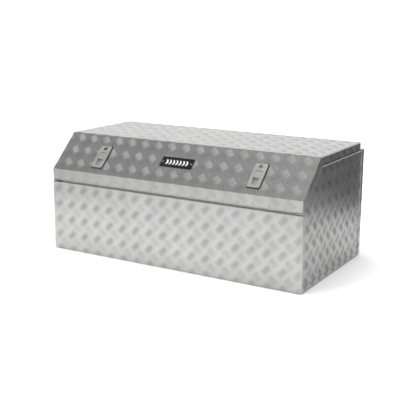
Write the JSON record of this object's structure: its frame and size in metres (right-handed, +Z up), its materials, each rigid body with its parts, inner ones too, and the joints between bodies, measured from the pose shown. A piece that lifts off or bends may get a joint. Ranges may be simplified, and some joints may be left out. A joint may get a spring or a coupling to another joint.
{
  "type": "truck tool box",
  "caption": "Chest truck tool box of folded five bar tread plate with a rear hinged lid, flush locking paddle latches on its sloping front and gas struts inside.",
  "frame": {"origin": "centre of the footprint on the underside of the floor", "axes": "+X along the box's length toward its right end seen from the front, +Y toward the hinge at the back, +Z up"},
  "size_m": [1.2, 0.61, 0.5],
  "materials": {
    "tread_plate": "bright mill tread plate",
    "mill_aluminium": "plain mill",
    "rivet_alloy": "bright",
    "stainless": "satin",
    "zinc_steel": "zinc plated",
    "spring_steel": "drawn wire",
    "lock_chrome": "polished die casting",
    "rod_chrome": "polished",
    "strut_black": "satin black",
    "badge_black": "gloss black",
    "socket_plastic": "moulded",
    "rubber": "matte"
  },
  "bodies": {
    "box": {"body_wrap": "tread_plate", "side_panel_left": "tread_plate", "side_panel_right": "tread_plate", "rim_seal": "rubber", "hinge_body_leaf": "stainless", "hinge_pin": "stainless", "hinge_body_rivets": "rivet_alloy", "striker_left": "zinc_steel", "striker_left_rivets": "rivet_alloy", "strut_left_body_bracket": "zinc_steel", "strut_left_body_stud": "zinc_steel", "striker_right": "zinc_steel", "striker_right_rivets": "rivet_alloy", "strut_right_body_bracket": "zinc_steel", "strut_right_body_stud": "zinc_steel"},
    "lid": {"lid_shell": "tread_plate", "hinge_lid_leaf": "stainless", "hinge_lid_rivets": "rivet_alloy", "lid_stiffeners": "mill_aluminium", "stiffener_rivets": "rivet_alloy", "badge": "badge_black", "badge_rivets": "rivet_alloy", "latch_left_gasket": "rubber", "latch_left_face": "stainless", "latch_left_bracket": "zinc_steel", "latch_left_paddle_pin": "stainless", "latch_left_lever_pin": "stainless", "latch_left_spring": "spring_steel", "latch_left_lock_barrel": "lock_chrome", "latch_left_lock_nut": "zinc_steel", "latch_left_nuts": "zinc_steel", "strut_left_lid_bracket": "zinc_steel", "strut_left_lid_stud": "zinc_steel", "latch_right_gasket": "rubber", "latch_right_face": "stainless", "latch_right_bracket": "zinc_steel", "latch_right_paddle_pin": "stainless", "latch_right_lever_pin": "stainless", "latch_right_spring": "spring_steel", "latch_right_lock_barrel": "lock_chrome", "latch_right_lock_nut": "zinc_steel", "latch_right_nuts": "zinc_steel", "strut_right_lid_bracket": "zinc_steel", "strut_right_lid_stud": "zinc_steel"},
    "paddle_left": {"latch_left_paddle": "stainless"},
    "hook_left": {"latch_left_hook": "zinc_steel"},
    "lock_left": {"latch_left_lock_plug": "lock_chrome", "latch_left_lock_cam": "zinc_steel"},
    "strut_barrel_left": {"strut_left_barrel": "strut_black", "strut_left_base_socket": "socket_plastic"},
    "strut_rod_left": {"strut_left_rod": "rod_chrome", "strut_left_rod_socket": "socket_plastic"},
    "paddle_right": {"latch_right_paddle": "stainless"},
    "hook_right": {"latch_right_hook": "zinc_steel"},
    "lock_right": {"latch_right_lock_plug": "lock_chrome", "latch_right_lock_cam": "zinc_steel"},
    "strut_barrel_right": {"strut_right_barrel": "strut_black", "strut_right_base_socket": "socket_plastic"},
    "strut_rod_right": {"strut_right_rod": "rod_chrome", "strut_right_rod_socket": "socket_plastic"}
  },
  "joints": [
    {"name": "lid_hinge", "type": "hinge", "parent": "box", "child": "lid", "pos_m": [0, 0.2698, 0.4708], "axis": [-1, 0, 0], "range_deg": [0, 80]},
    {"name": "paddle_left_pull", "type": "hinge", "parent": "lid", "child": "paddle_left", "pos_m": [-0.374, -0.22978, 0.4299], "axis": [-1, 0, 0], "range_deg": [0, 25], "stiffness_Nm_per_rad": 0.4, "springref_deg": -17.19},
    {"name": "hook_left_swing", "type": "hinge", "parent": "lid", "child": "hook_left", "pos_m": [-0.374, -0.24598, 0.38083], "axis": [1, 0, 0], "range_deg": [0, 8.1]},
    {"name": "lock_left_turn", "type": "hinge", "parent": "lid", "child": "lock_left", "pos_m": [-0.374, -0.21143, 0.44658], "axis": [0, 0.6875, -0.7262], "range_deg": [0, 90]},
    {"name": "strut_left_base_pivot", "type": "hinge", "parent": "box", "child": "strut_barrel_left", "pos_m": [-0.552, 0.19278, 0.24349], "axis": [-1, 0, 0], "range_deg": [0, 40.1]},
    {"name": "strut_left_rod_pivot", "type": "hinge", "parent": "lid", "child": "strut_rod_left", "pos_m": [-0.552, 0.02991, 0.478], "axis": [-1, 0, 0], "range_deg": [-40.1, 0]},
    {"name": "paddle_right_pull", "type": "hinge", "parent": "lid", "child": "paddle_right", "pos_m": [0.374, -0.22978, 0.4299], "axis": [-1, 0, 0], "range_deg": [0, 25], "stiffness_Nm_per_rad": 0.4, "springref_deg": -17.19},
    {"name": "hook_right_swing", "type": "hinge", "parent": "lid", "child": "hook_right", "pos_m": [0.374, -0.24598, 0.38083], "axis": [1, 0, 0], "range_deg": [0, 8.1]},
    {"name": "lock_right_turn", "type": "hinge", "parent": "lid", "child": "lock_right", "pos_m": [0.374, -0.21143, 0.44658], "axis": [0, 0.6875, -0.7262], "range_deg": [0, 90]},
    {"name": "strut_right_base_pivot", "type": "hinge", "parent": "box", "child": "strut_barrel_right", "pos_m": [0.552, 0.19278, 0.24349], "axis": [-1, 0, 0], "range_deg": [0, 40.1]},
    {"name": "strut_right_rod_pivot", "type": "hinge", "parent": "lid", "child": "strut_rod_right", "pos_m": [0.552, 0.02991, 0.478], "axis": [-1, 0, 0], "range_deg": [-40.1, 0]}
  ],
  "couplings": [
    {"joint": "hook_left_swing", "follows": "paddle_left_pull", "ratio": 0.32},
    {"joint": "strut_left_base_pivot", "follows": "lid_hinge", "ratio": 0.5},
    {"joint": "strut_left_rod_pivot", "follows": "lid_hinge", "ratio": -0.5},
    {"joint": "hook_right_swing", "follows": "paddle_right_pull", "ratio": 0.32},
    {"joint": "strut_right_base_pivot", "follows": "lid_hinge", "ratio": 0.5},
    {"joint": "strut_right_rod_pivot", "follows": "lid_hinge", "ratio": -0.5}
  ]
}
